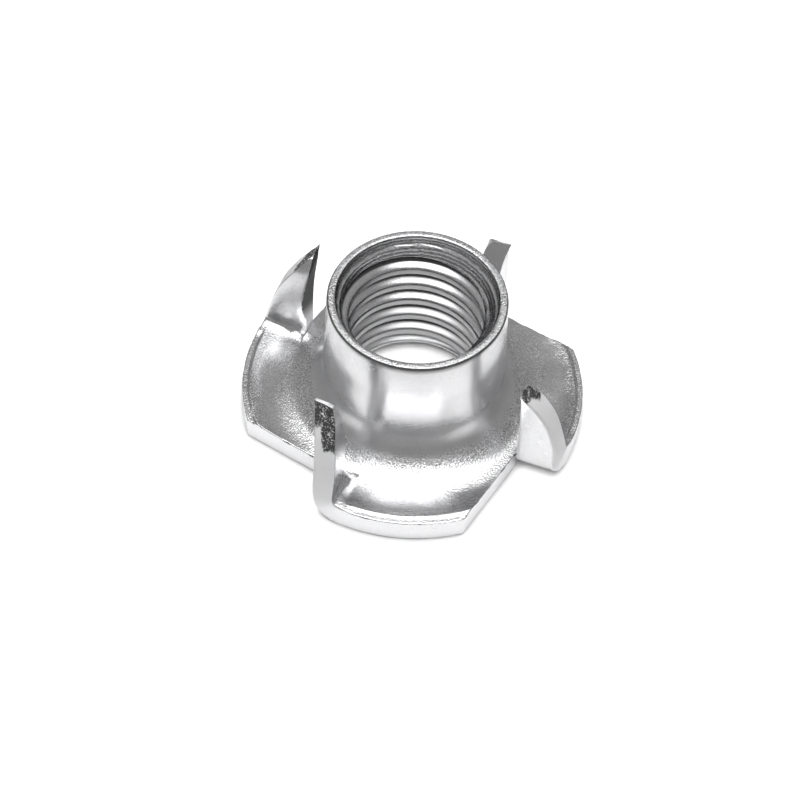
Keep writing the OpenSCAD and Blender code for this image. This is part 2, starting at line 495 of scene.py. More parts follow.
def inner_bend(station, share):
    """The inner face round the bend. Near the straight edge it is one wide quarter arc. Further
    out it becomes a gentle hollow up to the crease and then a tight quarter arc."""
    base_z = np.interp(share, root_share[:counts[0]], root_top[:counts[0]])
    wide_r = FOLD_OUT - PRONG_T - BEND_START
    wide_turn = np.clip(station, 0, 1) * np.pi / 2
    wide_n = BEND_START + wide_r * np.sin(wide_turn)
    wide_z = base_z + wide_r * (1 - np.cos(wide_turn))
    arc_n = FOLD_OUT - PRONG_T - CREASE_R
    start_n = arc_n + CREASE_R * np.sin(CREASE_SLOPE)
    start_z = base_z + np.tan(CREASE_SLOPE) * (start_n - BEND_START) / 2
    on_slope = np.clip(station / CREASE_AT, 0, 1)
    in_crease = np.clip((station - CREASE_AT) / (1 - CREASE_AT), 0, 1)
    turn = CREASE_SLOPE + (np.pi / 2 - CREASE_SLOPE) * in_crease
    n = np.where(station < CREASE_AT, BEND_START + (start_n - BEND_START) * on_slope,
                 arc_n + CREASE_R * np.sin(turn))
    z = np.where(station < CREASE_AT, base_z + (start_z - base_z) * on_slope**2,
                 start_z + CREASE_R * (np.cos(CREASE_SLOPE) - np.cos(turn)))
    creased = smooth(*CREASE_SHARE, share)
    return wide_n + (n - wide_n) * creased, wide_z + (z - wide_z) * creased


def face_place(depth, station, share, blunt):
    """Distance n from the axis and height z at a depth share and a share along, for a station.
    Stations 0 to 1 run round the bend, 1 to 2 rise to the curl, 2 to 3 curl up to TIP_FROM, and
    from 3 on, over RIDGE_RISE, they rise to the ridge, which is worn down by the height blunt."""
    n_in, z_in = inner_bend(station, share)
    turn = np.clip(station, 0, 1) * np.pi / 2
    n_out = BEND_START + BEND_OUT_R * np.sin(turn) ** BEND_POWER
    z_out = BEND_OUT_R * (1 - np.clip(np.cos(turn), 0, 1) ** BEND_POWER)
    n = n_in + (n_out - n_in) * depth
    z = z_in + (z_out - z_in) * depth
    z = z + (CURL_Z - z) * np.clip(station - 1, 0, 1)
    z = z + (TIP_FROM - CURL_Z) * np.clip(station - 2, 0, 1)
    ridge = TIP_OUT - (TIP_OUT - TIP_IN) * (1 - depth) ** 1.5 - blunt
    z = z + (ridge - TIP_FROM) * np.clip((station - 3) / RIDGE_RISE, 0, 1)
    reach = CURL_R + PRONG_T * (1 - depth)
    curl = reach - np.sqrt(reach**2 - np.clip(z - CURL_Z, 0, None) ** 2)
    thin = TIP_THIN * smooth(*TIP_THINS, z) * (1 - depth)
    return n + np.where(station > 1, curl, 0) + thin, z


tip_curl = CURL_R - np.sqrt(CURL_R**2 - (TIP_OUT - CURL_Z) ** 2)
print(f"a prong's outer face stands {FOLD_OUT} mm off the axis and curls out {tip_curl:.2f} mm")

# %% [markdown]
# Each point of the root loop belongs to one point of the blade. The flange's upper side becomes
# the inner face, its round edge the curved edge, its underside the outer face and the slit's wall
# the straight edge. The outer face rolls round into the edges, as the flange's underside does, and
# the inner face keeps sharp corners, where the shear left its burr.

# %% Prong: shares of the blade
STRAIGHT_ROLL = 0.05               # the outer face's roll into the straight edge
depth_wall = np.linspace(0.02, 1 - ROLL_R / PRONG_T, WALL_ROWS + 1)
depth_foot = 1 - ROLL_R / PRONG_T * foot_height
depth_wall_in = np.linspace(0.02, 1 - STRAIGHT_ROLL / PRONG_T, WALL_ROWS + 1)
depth_foot_in = 1 - STRAIGHT_ROLL / PRONG_T * foot_height
blade_share = np.concatenate([ribbon_t, np.ones(counts[1]), 1 - eased(BASE_ROWS, 0.5)[1:],
                              np.zeros(counts[3])])
blade_depth = np.concatenate([0.02 * np.abs(2 * ribbon_t - 1) ** 30, depth_wall[1:], depth_foot[1:],
                              np.ones(counts[2]), depth_foot_in[1:][::-1][1:], depth_wall_in[::-1]])
inset_out = np.concatenate([np.zeros(counts[0] + WALL_ROWS), ROLL_R * foot_inset[1:],
                            np.full(counts[2], ROLL_R), np.zeros(counts[3])])
inset_in = np.concatenate([np.zeros(counts[0] + counts[1]), np.full(counts[2], STRAIGHT_ROLL),
                           STRAIGHT_ROLL * foot_inset[1:][::-1][1:], np.zeros(WALL_ROWS + 1)])
fold_axis = np.array([np.cos(FOLD_TURN), np.sin(FOLD_TURN)])
root_s = root_loop[:, :2] @ fold_axis
fold_w = root_s.max() - EDGE_IN
root_share = (root_s - EDGE_IN) / fold_w
root_top = np.interp(root_share, root_share[:counts[0]], root_loop[:counts[0], 2])
root_depth = 1 - root_loop[:, 2] / root_top
print("blade loop:", len(blade_share), len(blade_depth), len(inset_out), len(inset_in))

# %% [markdown]
# The four prongs were torn by four punches, so each has its own small lean at the tip, its own
# break along the straight edge and its own blunt tip. One prong could be made and copied, but four
# equal ones look like a pattern, so one function makes all four from three numbers each.

# %% Prong: all loops
STATIONS = np.concatenate([
    np.linspace(0, CREASE_AT, 6)[1:],
    np.linspace(CREASE_AT, 1, 12)[1:],
    np.linspace(1, 2, 4)[1:],
    np.linspace(2, 3, 30)[1:],
    3 + np.array([0.14, 0.28, 0.42, 0.55, 0.67, 0.78, 0.86, 0.92, 0.96, 0.985, 1.0]),
])
# The worn top of a prong is closed by loops that shrink to one point in its middle.
ridge_width = np.interp(STATIONS, [3.9, 3.96, 3.985, 4.0], [1, 0.8, 0.5, 0])
# For the prongs at 13, 103, 193 and 283 degrees: the lean along and out at the tip, how deep the
# straight edge is broken back, and how far the tip is worn down.
PRONG_LEAN = [(0.0, 0.0), (0.0, 0.0), (-0.17, 0.0), (0.0, 0.12)]
PRONG_BREAK = [0.12, 0.15, 0.36, 0.3]
PRONG_BLUNT = [0.0, 0.05, 0.03, 0.16]
DRIFT_END = 0.65                   # station from which a loop's shares are those of the blade
CHAMFER, CHAMFER_W = 0.25, 0.45    # share of the thickness that the foot's chamfer takes, and its width
CHAMFER_OVER = 4.8, 2.3            # heights between which it grows downwards
BREAK_OVER = 1.9, 3.4              # heights between which the break grows upwards
BREAK_FADES, BREAK_LEFT = (8.2, 3.0), 0.1    # where it fades towards the tip, and what is left there
LEAN_OVER = 4.5, 8.3               # heights between which the lean grows
SLIM = 0.6                         # below this width the rolls of both edges shrink with it


def prong_loops(lean, broken, blunt):
    """All loops of one prong, as (stations, points, 3), with the straight edge's and curved edge's
    places worked out at each point's own height and depth."""
    station = STATIONS[:, None]
    wide = ridge_width[:, None]
    drift = smooth(0, DRIFT_END, station)
    share = root_share + (blade_share - root_share) * drift
    depth = root_depth + (blade_depth - root_depth) * drift
    depth = 0.5 + (depth - 0.5) * wide
    n, z = face_place(depth, station, share, blunt)
    foot = drift * smooth(*CHAMFER_OVER, z)
    chamfer = CHAMFER * foot * np.clip(1 - share * fold_w / CHAMFER_W, 0, 1)
    depth = depth + chamfer * (1 - np.clip(depth, 0, 1)) * (blade_depth < 0.98)
    n, z = face_place(depth, station, share, blunt)
    fade = BREAK_LEFT + (1 - BREAK_LEFT) * smooth(*BREAK_FADES, z)
    start = EDGE_IN + broken * (1 - depth) * smooth(*BREAK_OVER, z) * fade
    full = curved_edge(n, z) - start
    full = fold_w + (full - fold_w) * smooth(0, 0.25, station)
    narrow = drift * wide * np.clip(full / SLIM, 0, 1)
    in_by, out_by = inset_in * narrow, inset_out * narrow
    s = start + in_by + (full - in_by - out_by) * (wide * share + (1 - wide) / 2)
    tipward = smooth(*LEAN_OVER, z)
    return np.concatenate([fold_plan(s + lean[0] * tipward, n + lean[1] * tipward), z[..., None]], -1)


blades = [np.concatenate([root_loop[None], prong_loops(lean, broken, blunt)])
          for lean, broken, blunt in zip(PRONG_LEAN, PRONG_BREAK, PRONG_BLUNT)]
print("prong grid:", blades[0].shape[:2], "tip at", blades[0][-1, :, 2].max().round(2), "mm")

# %% [markdown]
# The shear cuts the sheet bright at first and then tears it, and that is where a tee nut gets its
# dark, rough tips. Four marks travel with every point and later steer the finish: how torn the
# metal is, whether it is the cut side of the sheet, whether it is a blade, and how much painted
# shade it takes. Painting them by hand would work too, but worked out from the shape they follow every
# change of size.

# %% Patches and their marks
MARKS = ("torn", "cut", "blade", "painted_shade")
patches = []


def add_patch(points, torn=0.0, cut=0.0, blade=0.0, painted_shade=0.0):
    """Keeps one grid of points with its four marks, each one value or an array like the grid."""
    marks = [np.broadcast_to(m, points.shape[:2])[..., None] for m in (torn, cut, blade, painted_shade)]
    patches.append(np.concatenate([points] + marks, -1))


CUT_FROM, BURR_W = 0.08, 0.12          # shares of a wall's height, from its upper edge
ROUND_BURR = 0.5                       # how torn the round edge is against a sheared one
BLADE_STATIONS = 0.1, 1.0              # stations between which the flange becomes a blade
wall_share = np.linspace(0, 1, len(lobe_wall))[:, None]
wall_cut = smooth(0, CUT_FROM, wall_share)
burr = smooth(BURR_W, 0, wall_share)
loop_station = np.concatenate([[0.0], STATIONS])[:, None]
on_blade = smooth(*BLADE_STATIONS, loop_station)
is_wall = np.concatenate([np.zeros(counts[0] - 1), np.ones(counts[1] + 1), np.zeros(counts[2] - 1),
                          np.ones(counts[3] + 1)])[None, :]
is_straight = np.arange(len(blade_share))[None, :] >= len(blade_share) - counts[3] - 1
# Heights above which a prong's edges are torn: through the whole thickness, and beside the inner face.
TORN_FROM = [(7.7, 7.4), (9.5, 9.5), (7.5, 7.0), (7.0, 5.7)]
TIP_BRIGHT = [0.0, 1.0, 0.0, 1.0]      # whether the worn tip is bright again
EDGE_SHADE = [0.0, 0.45, 0.85, 0.0]     # painted shade on each straight edge, standing in for a dark reflection
EDGE_SHADE_OVER = 2.2, 3.8              # heights between which that begins
BESIDE_LOW, BESIDE_HIGH, THROUGH_BLUR = 1.2, 1.0, 0.8    # how far the tearing's soft steps reach
BESIDE_DEPTH = 0.85, 0.4               # depth shares between which tearing beside the inner face begins
TIP_STATIONS = 3.84, 3.93              # stations between which the worn tip begins


def tearing(loops, through_from, beside_from, bright):
    """1 where the edge of a prong is torn, 0 where the punch left it bright: a soft step up the
    height, which starts lower beside the inner face than through the whole thickness."""
    z = loops[..., 2]
    beside = smooth(beside_from - BESIDE_LOW, beside_from + BESIDE_HIGH, z)
    beside = beside * smooth(*BESIDE_DEPTH, blade_depth)[None, :]
    through = smooth(through_from - THROUGH_BLUR, through_from + THROUGH_BLUR, z)
    tip = smooth(*TIP_STATIONS, loop_station)
    return np.maximum(through, beside) * is_wall * (1 - bright * tip)


for k in range(4):
    loops = blades[k]
    add_patch(turned(stem, k))
    add_patch(turned(top, k))
    add_patch(turned(lobe_top, k))
    add_patch(turned(lobe_wall, k), ROUND_BURR * burr, wall_cut)
    add_patch(turned(shear_wall, k), burr * slit_share[LOBE_COLS:] ** 2, wall_cut)
    add_patch(turned(lobe_base, k))
    add_patch(turned(base, k))
    # Painted shade on a prong's straight edge, standing in for a dark reflection there.
    painted_shade = EDGE_SHADE[k] * is_straight * smooth(*EDGE_SHADE_OVER, loops[..., 2])
    add_patch(turned(loops, k), tearing(loops, *TORN_FROM[k], TIP_BRIGHT[k]), is_wall, on_blade, painted_shade)

print(len(patches), "patches for the four quarters")

# %% [markdown]
# All patches go into one mesh. The bore comes in as one piece with the strips that tie it to the
# rim and to the mouth. The patches share their borders point for point, so merging doubles closes
# the skin, and a count of open edges proves it. Separate meshes would show a seam in every bend.

# %% One closed mesh
MERGE = 0.001          # points closer than this are one


def grid_faces(shape, first):
    """The quads of a grid: each joins a point, its right neighbour and the two in the next row."""
    index = np.arange(shape[0] * shape[1]).reshape(shape[:2]) + first
    corners = [index[:-1, :-1], index[:-1, 1:], index[1:, 1:], index[1:, :-1]]
    return np.stack(corners, -1).reshape(-1, 4)


def mesh_of(name, xyz, quads):
    """A mesh from an array of points and an array of quads, filled with foreach_set."""
    mesh = bpy.data.meshes.new(name)
    mesh.vertices.add(len(xyz))
    mesh.vertices.foreach_set("co", xyz.astype(np.float32).ravel())
    mesh.loops.add(quads.size)
    mesh.loops.foreach_set("vertex_index", quads.astype(np.int32).ravel())
    mesh.polygons.add(len(quads))
    mesh.polygons.foreach_set("loop_start", np.arange(0, quads.size, quads.shape[1], dtype=np.int32))
    mesh.update(calc_edges=True)
    mesh.validate()
    return mesh


def set_mark(mesh, name, values):
    """Stores one number for each point under a name that a material can read."""
    mark = mesh.attributes.get(name) or mesh.attributes.new(name, "FLOAT", "POINT")
    mark.data.foreach_set("value", values.astype(np.float32))


rim_strip = np.stack([bore[-1], at_height(polar(rim_r[0], ring_a), rim_z[0])])
mouth_strip = np.stack([at_height(polar(mouth_r[-1], ring_a), mouth_z[-1]), bore[0]])
add_patch(rim_strip)
add_patch(bore)
add_patch(mouth_strip)

firsts = np.cumsum([0] + [p.shape[0] * p.shape[1] for p in patches])
points = np.concatenate([p.reshape(-1, 3 + len(MARKS)) for p in patches])
faces = np.concatenate([grid_faces(p.shape, first) for p, first in zip(patches, firsts)])
print("before merging:", len(points), "points,", len(faces), "faces")

skin = mesh_of("nut_body", points[:, :3] * MM, faces)
for i, name in enumerate(MARKS):
    set_mark(skin, name, points[:, 3 + i])

bm = bmesh.new()
bm.from_mesh(skin)
bmesh.ops.remove_doubles(bm, verts=bm.verts, dist=MERGE * MM)
bmesh.ops.recalc_face_normals(bm, faces=bm.faces)
open_edges = sum(1 for e in bm.edges if not e.is_manifold)
print("after merging:", len(bm.verts), "points,", len(bm.faces), "faces, open edges:", open_edges)
print(f"volume {bm.calc_volume(signed=True) / MM**3:.1f} mm3, outward when above 0")
bm.to_mesh(skin)
bm.free()
skin.shade_smooth()

# %% [markdown]
# Pressed sheet is never perfectly true, and a mirror shows it. A Displace modifier with a cloud
# texture would do, but a sum of a few dozen sine waves in random directions is as soft, repeats
# exactly, and can be kept off the bore, the seat and the rim. The same sum with short waves
# roughens the torn metal.

# %% Unevenness
WOBBLE = [(0.008, 3.2), (0.003, 1.1)]    # height and wavelength of the sheet's unevenness
TEAR = [(0.035, 0.42), (0.02, 0.24)]     # and of the torn metal's
TEAR_IN = 0.03                           # how far torn metal lies below the cut
KEEP_FOOT, KEEP_RIM = 0.25, 0.3          # heights by the seat and the rim that stay true
BORE_REACH = MOUTH_R + 0.02              # what lies nearer the axis is the bore's
random = np.random.default_rng(7)


def waves(xyz, length, count=40):
    """A smooth random field from -1 to 1 or so: the mean of sine waves in random directions with
    wavelengths around the given one, scaled up by the square root of their number."""
    heading = random.normal(size=(count, 3))
    heading /= np.linalg.norm(heading, axis=1)[:, None]
    number = 2 * np.pi / (length * random.uniform(0.7, 1.4, count))
    phase = random.uniform(0, 2 * np.pi, count)
    return np.sin(xyz @ (heading * number[:, None]).T + phase).mean(1) * np.sqrt(count / 2)


def all_waves(xyz, sizes):
    """The sum of several fields, each times its height."""
    return sum(height * waves(xyz, length) for height, length in sizes)


def read_floats(collection, name, width):
    """One numpy row for each element of a Blender collection, read with foreach_get."""
    values = np.empty(len(collection) * width, np.float32)
    collection.foreach_get(name, values)
    return values.reshape(-1, width).astype(float)


rest = read_floats(skin.vertices, "co", 3) / MM
outward = read_floats(skin.vertices, "normal", 3)
torn, cut, blade, edge_painted_shade = [read_floats(skin.attributes[name].data, "value", 1)[:, 0]
                               for name in MARKS]
radius = np.hypot(rest[:, 0], rest[:, 1])
in_bore = radius < BORE_REACH
free = smooth(0, KEEP_FOOT, rest[:, 2]) * np.where(in_bore, 0.0, 1.0)
free = free * smooth(0, KEEP_RIM, NUT_H - rest[:, 2])
wobble = all_waves(rest, WOBBLE)
tear = all_waves(rest, TEAR)
push = wobble * free - TEAR_IN * torn + tear * torn
moved = rest + outward * push[:, None]
moved[:, 2] = np.clip(moved[:, 2], 0, NUT_H)
reach = np.hypot(moved[:, 0], moved[:, 1])
moved[:, :2] *= np.minimum(1, FLANGE_R / reach)[:, None]
skin.vertices.foreach_set("co", (moved * MM).astype(np.float32).ravel())
skin.update()
print(f"unevenness: {np.abs(push).max():.3f} mm at most")

# %% [markdown]
# Sheet steel has a fine grain like orange peel, and the tools polish it away where they rub. So one
# more mark says how much grain is left, worked out from the place: full at the foot of the neck,
# less over the dish, faint on the drawn barrel, the blades and inside the bore. A noise texture
# alone would cover everything alike and the nut would look cast.

# %% Grain mark
GRAIN_FROM, GRAIN_FULL = 6.3, 6.75       # radii between which the grain starts
GRAIN_BARREL, GRAIN_BORE, GRAIN_UNDER, GRAIN_EDGE = 0.13, 0.12, 0.3, 0.55
NECK_RIPPLE, DISH_RIPPLE = [(0.15, 1.6)], [(0.3, 2.0)]   # height and wavelength, for ragged borders
DISH_RUBBED = [(7.0, 7.6, 0.5), (8.3, 9.3, 0.6)]   # radii between which a share of it is rubbed off
EDGE_FROM, EDGE_FULL = 9.6, 10.2         # radii between which some is left near the round edge
BLADE_RUBBED, CUT_RUBBED = 0.7, 0.8
LAND_R, LAND_Z = (MOUTH_R - 0.14, MOUTH_R - 0.08), (NUT_H - 0.05, NUT_H - 0.01)   # the rim's land
FACE_DOWN = -0.5                         # upward part of the normal, below which a face is underneath

neck_radius = radius + all_waves(rest, NECK_RIPPLE)
dish_radius = radius + all_waves(rest, DISH_RIPPLE)
grain = GRAIN_BARREL + (1 - GRAIN_BARREL) * smooth(GRAIN_FROM, GRAIN_FULL, neck_radius)
for start, end, rubbed in DISH_RUBBED:
    grain = grain * (1 - rubbed * smooth(start, end, dish_radius))
grain = np.maximum(grain, GRAIN_EDGE * smooth(EDGE_FROM, EDGE_FULL, dish_radius))
grain = np.where(in_bore, GRAIN_BORE, grain)
on_land = smooth(*LAND_R, radius) * smooth(*LAND_Z, rest[:, 2])
grain = np.maximum(grain, on_land)
grain = np.where(outward[:, 2] < FACE_DOWN, GRAIN_UNDER, grain)
grain = grain * (1 - BLADE_RUBBED * blade) * (1 - CUT_RUBBED * cut)
set_mark(skin, "grain", grain)
print("grain left, on average:", grain.mean().round(2))

# %% [markdown]
# Painted shade darkens the plate a little in the hollow inside the margin, and more on the edge
# round the outside of the rim, and the turned cone at the mouth of the bore has rings. Both could
# be painted, but as marks they follow the shape.

# %% Painted shade and the turned cone
HOLLOW_SHADE = 0.22                                      # how dark the painted shade in the hollow is
HOLLOW_SHADE_IN, HOLLOW_SHADE_OUT = (9.5, 10.1), (10.75, 10.6) # radii over which it starts and ends
FACE_UP = 0.6, 0.9                                 # upward part of the normal, on the upper side only
RIM_SHADE = 0.6                                     # how dark the painted shade on the rim's outer roll is
RIM_TURN = MOUTH_R + 0.33, MOUTH_R + 0.37          # radii over which that starts
RIM_DROP = NUT_H - 0.25, NUT_H - 0.12              # and heights
CONE_BLUR, CONE_REACH = 0.05, MOUTH_R - 0.07

# Painted shade: darker in the hollow inside the margin, on upward faces only, and on the rim's outer roll.
hollow_painted_shade = HOLLOW_SHADE * smooth(*HOLLOW_SHADE_IN, radius) * smooth(*HOLLOW_SHADE_OUT, radius) * smooth(*FACE_UP, outward[:, 2])
rim_painted_shade = RIM_SHADE * smooth(*RIM_TURN, radius) * smooth(*RIM_DROP, rest[:, 2])
set_mark(skin, "painted_shade", np.maximum(np.maximum(edge_painted_shade, hollow_painted_shade), rim_painted_shade * (1 - blade)))
above_cone = smooth(LEAD_LOW - CONE_BLUR, LEAD_LOW + CONE_BLUR, rest[:, 2])
on_cone = np.where(radius < CONE_REACH, above_cone, 0.0)
set_mark(skin, "cone", on_cone)
print("points on the cone:", int((on_cone > 0.5).sum()))

# %% [markdown]
# The skin becomes one object. It could be split into barrel, flange and prongs, but the real nut
# is one piece and has no such joints. It rides the part's only body and takes the place of the
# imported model's plain solid.

# %% The nut
nut = bpy.data.objects.new("nut_body", skin)
bpy.context.scene.collection.objects.link(nut)
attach(nut, "root")
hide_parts("tee_nut")
print("nut:", len(skin.vertices), "points, marks:", ", ".join(MARKS), "grain and cone")

# %% [markdown]
# A material is a tree of nodes, and a tree written out node by node is long and hard to follow. The
# small class below lets each step be written as a sum: it makes a node, feeds its inputs with
# numbers or with other nodes, and gives back what comes out.

# %% Helpers for node materials


class Nodes:
    """A short way to write a node tree: add() makes a node and links or sets its inputs."""

    def __init__(self, tree):
        """Starts with an empty tree."""
        self.tree = tree
        tree.nodes.clear()

    def add(self, kind, settings=None, **inputs):
        """A new node. An input is called by its name, or by its number as in i0 and i1."""
        node = self.tree.nodes.new(kind)
        for name, value in (settings or {}).items():
            setattr(node, name, value)
        for name, value in inputs.items():
            self.feed(node.inputs[int(name[1:])] if name[0] == "i" and name[1:].isdigit()
                      else node.inputs[name.replace("_", " ")], value)
        return node

    def feed(self, socket, value):
        """Links an input to another node's output, or sets it to a value."""
        if isinstance(value, bpy.types.NodeSocket):
            self.tree.links.new(value, socket)
        else:
            socket.default_value = value

    def math(self, operation, a, b=0.0, clamp=False):
        """A number worked out from one or two others, held from 0 to 1 where clamp is set."""
        node = self.add("ShaderNodeMath", {"operation": operation, "use_clamp": clamp}, i0=a, i1=b)
        return node.outputs[0]

    def mark(self, name):
        """The number that set_mark stored with the points."""
        return self.add("ShaderNodeAttribute", {"attribute_name": name}).outputs["Fac"]

    def mix(self, share, a, b):
        """A number between a and b: a + share * (b - a)."""
        node = self.add("ShaderNodeMix", {"data_type": "FLOAT"}, i0=share, i2=a, i3=b)
        return node.outputs[0]

    def ramp(self, value, low, high, out_low=0.0, out_high=1.0):
        """Maps value from low..high to out_low..out_high and holds it there outside."""
        node = self.add("ShaderNodeMapRange", {"clamp": True}, i0=value, i1=low, i2=high,
                        i3=out_low, i4=out_high)
        return node.outputs[0]

    def noise(self, place, per_mm, detail=2.0, roughness=0.5):
        """A cloudy pattern from 0 to 1 with this many features in a millimetre."""
        node = self.add("ShaderNodeTexNoise", None, Vector=place, Scale=per_mm / MM, Detail=detail,
                        Roughness=roughness)
        return node.outputs[0]


def material_named(name):
    """A new material, and the nodes to build it with."""
    material = bpy.data.materials.new(name)
    material.use_nodes = True
    return material, Nodes(material.node_tree)


# %% [markdown]
# The finish is bright zinc plate: a pale metal whose gloss changes with how the surface was made.
# It could be several materials, one for each kind of surface, but they would meet in hard lines. So
# one material covers the whole skin, and the marks steer it. First come its patterns: noises on
# the object's own coordinates, from fine grain to slow clouds, and the rings of the turned cone.

# %% Zinc plate: its marks and patterns
# Features in a millimetre, detail and roughness of each noise.
FINE, COARSE, CLOUDS = (9.0, 2.0, 0.55), (2.6, 2.0, 0.5), (0.45, 3.0, 0.55)
GRIT, RAGGED = (12.0, 3.0, 0.6), (1.6, 4.0, 0.7)
TORN_STEP = 0.92, 1.05             # where torn mark and ragged noise together count as torn
RING_PITCH, RING_WANDER = 0.23, 0.5    # of the turned cone: millimetres, and turns of wander

zinc, nodes = material_named("bright_zinc")
spot = nodes.add("ShaderNodeTexCoord").outputs["Object"]
grain_mark, cut_mark, blade_mark = nodes.mark("grain"), nodes.mark("cut"), nodes.mark("blade")
cone_mark = nodes.mark("cone")

flatten = nodes.add("ShaderNodeVectorMath", {"operation": "MULTIPLY"}, i0=spot, i1=(1, 1, 0))
flat_length = nodes.add("ShaderNodeVectorMath", {"operation": "LENGTH"}, i0=flatten.outputs["Vector"])
from_axis = flat_length.outputs["Value"]
above = nodes.add("ShaderNodeSeparateXYZ", None, Vector=spot).outputs["Z"]
fine, coarse, cloud, grit, ragged = [nodes.noise(spot, *pattern)
                                     for pattern in (FINE, COARSE, CLOUDS, GRIT, RAGGED)]
torn_mark = nodes.ramp(nodes.math("ADD", nodes.mark("torn"), ragged), *TORN_STEP)
turns_up = nodes.math("DIVIDE", above, RING_PITCH * MM)
turns_up = nodes.math("ADD", turns_up, nodes.math("MULTIPLY", coarse, RING_WANDER))
rings = nodes.math("SINE", nodes.math("MULTIPLY", turns_up, 2 * np.pi))
edge_mark = nodes.math("MULTIPLY", blade_mark, cut_mark)
print("patterns:", len(zinc.node_tree.nodes), "nodes")

# %% [markdown]
# The grain, the torn metal and the rings are hundredths of a millimetre high. Moving points for
# them would take millions of points, so they are a bump: a height that only bends the light. Each
# height is a pattern times its mark.

# %% Zinc plate: its relief
RELIEF = 0.036                                     # millimetres for a height of 1
COARSE_HEIGHT, CLOUD_HEIGHT, TORN_HEIGHT, RING_HEIGHT = 0.4, 0.12, 3.0, 0.12

grainy = nodes.math("ADD", fine, nodes.math("MULTIPLY", coarse, COARSE_HEIGHT))
grain_height = nodes.math("MULTIPLY", grainy, grain_mark)
torn_height = nodes.math("MULTIPLY", grit, nodes.math("MULTIPLY", torn_mark, TORN_HEIGHT))
cloud_height = nodes.math("MULTIPLY", cloud, CLOUD_HEIGHT)
ring_height = nodes.math("MULTIPLY", nodes.math("MULTIPLY", rings, RING_HEIGHT), cone_mark)
relief = nodes.math("ADD", nodes.math("ADD", grain_height, torn_height),
                    nodes.math("ADD", cloud_height, ring_height))
bump = nodes.add("ShaderNodeBump", None, Strength=1.0, Distance=RELIEF * MM, Height=relief)
print("relief:", RELIEF, "mm")

# %% [markdown]
# Gloss comes next. The plate is glossiest on the flange, softer on the barrel that slid through
# the die, softer still at the neck's foot, and dullest where the metal was cut or torn. Roughness
# is a plain number, so the parts are simply added up.

# %% Zinc plate: its gloss
ROUGH_BARREL, ROUGH_FLANGE, ROUGH_FOOT = 0.22, 0.15, 0.1
BARREL_END, FLANGE_START = 6.6, 7.6    # radii between which the gloss changes
FOOT_OVER, FOOT_R = (4.9, 3.9), (6.4, 6.9)    # heights and radii between which the neck's foot lies
ROUGH_MARKS = [(grain_mark, 0.06), (cut_mark, 0.14), (blade_mark, 0.1), (edge_mark, 0.14), (torn_mark, 0.3)]

rough = nodes.ramp(from_axis, BARREL_END * MM, FLANGE_START * MM, ROUGH_BARREL, ROUGH_FLANGE)
low_down = nodes.ramp(above, FOOT_OVER[0] * MM, FOOT_OVER[1] * MM, 0.0, ROUGH_FOOT)
close_in = nodes.ramp(from_axis, FOOT_R[0] * MM, FOOT_R[1] * MM, 1.0, 0.0)
rough = nodes.math("ADD", rough, nodes.math("MULTIPLY", low_down, close_in))
for kind, more in ROUGH_MARKS:
    rough = nodes.math("ADD", rough, nodes.math("MULTIPLY", kind, more))
rough = nodes.math("ADD", rough, nodes.ramp(cloud, 0.3, 0.7, -0.03, 0.05), clamp=True)
print("roughness from", ROUGH_FLANGE, "up, with", len(ROUGH_MARKS), "marks")

# %% [markdown]
# Zinc is almost colourless, so its colour is one tone with a breath of blue. The grain carries
# specks, the rings are streaked, the thread's roots and crests get painted shade, the painted
# shade mark darkens its places, and the torn metal is sooty with a few clean flecks. The cut edges
# are drawn out and scatter light, so they turn from mirror to paint. Brushed on by hand these would
# be quicker to try, but here each has its reason and its number.

# %% Zinc plate: its colour
TONE_LOW, TONE_HIGH = 0.76, 0.83       # of the clouds in the plate
SPECK_DARK, SPECK_LIGHT = -0.42, 0.24  # what the darkest and the lightest specks add
STREAK_DARK, EDGE_DARK = 0.25, 0.97    # darkest tone of the cone's streaks and of the cut edges
RING_STREAK, COARSE_FLECK = 0.3, 0.6   # how much the rings and the coarse noise count in their patterns
ROOT_SHADE, CREST_SHADE = 0.85, 0.42     # what the painted shade in the thread's roots and on its crests takes away
ROOT_FROM, ROOT_FULL = CREST_R + 0.36, CREST_R + 0.46
THREAD_OUT, THREAD_END = ROOT_R + 0.1, ROOT_R + 0.15
THREAD_LOW, THREAD_FULL = 1.3, 1.6     # heights between which the painted shade in the thread begins
CREST_FULL, CREST_END = CREST_R + 0.02, CREST_R + 0.12
SOOT = 0.07                        # tone of the torn metal
FLECK_STEP = 0.86, 0.96            # where a fleck of it stayed clean
BLUE = 1.012                       # blue against red and green
MATT_EDGE = 0.95                   # share of paint in a prong's cut edge, the rest is mirror

tone = nodes.ramp(cloud, 0.25, 0.75, TONE_LOW, TONE_HIGH)
speck = nodes.math("MULTIPLY", nodes.ramp(fine, 0.3, 0.7, SPECK_DARK, SPECK_LIGHT), grain_mark)
tone = nodes.math("ADD", tone, speck)
streaks = nodes.math("ADD", nodes.math("MULTIPLY", rings, RING_STREAK), fine)
tone = nodes.mix(cone_mark, tone, nodes.ramp(streaks, 0.1, 0.9, STREAK_DARK, 1.0))
tone = nodes.mix(edge_mark, tone, nodes.ramp(fine, 0.35, 0.65, EDGE_DARK, 1.0))
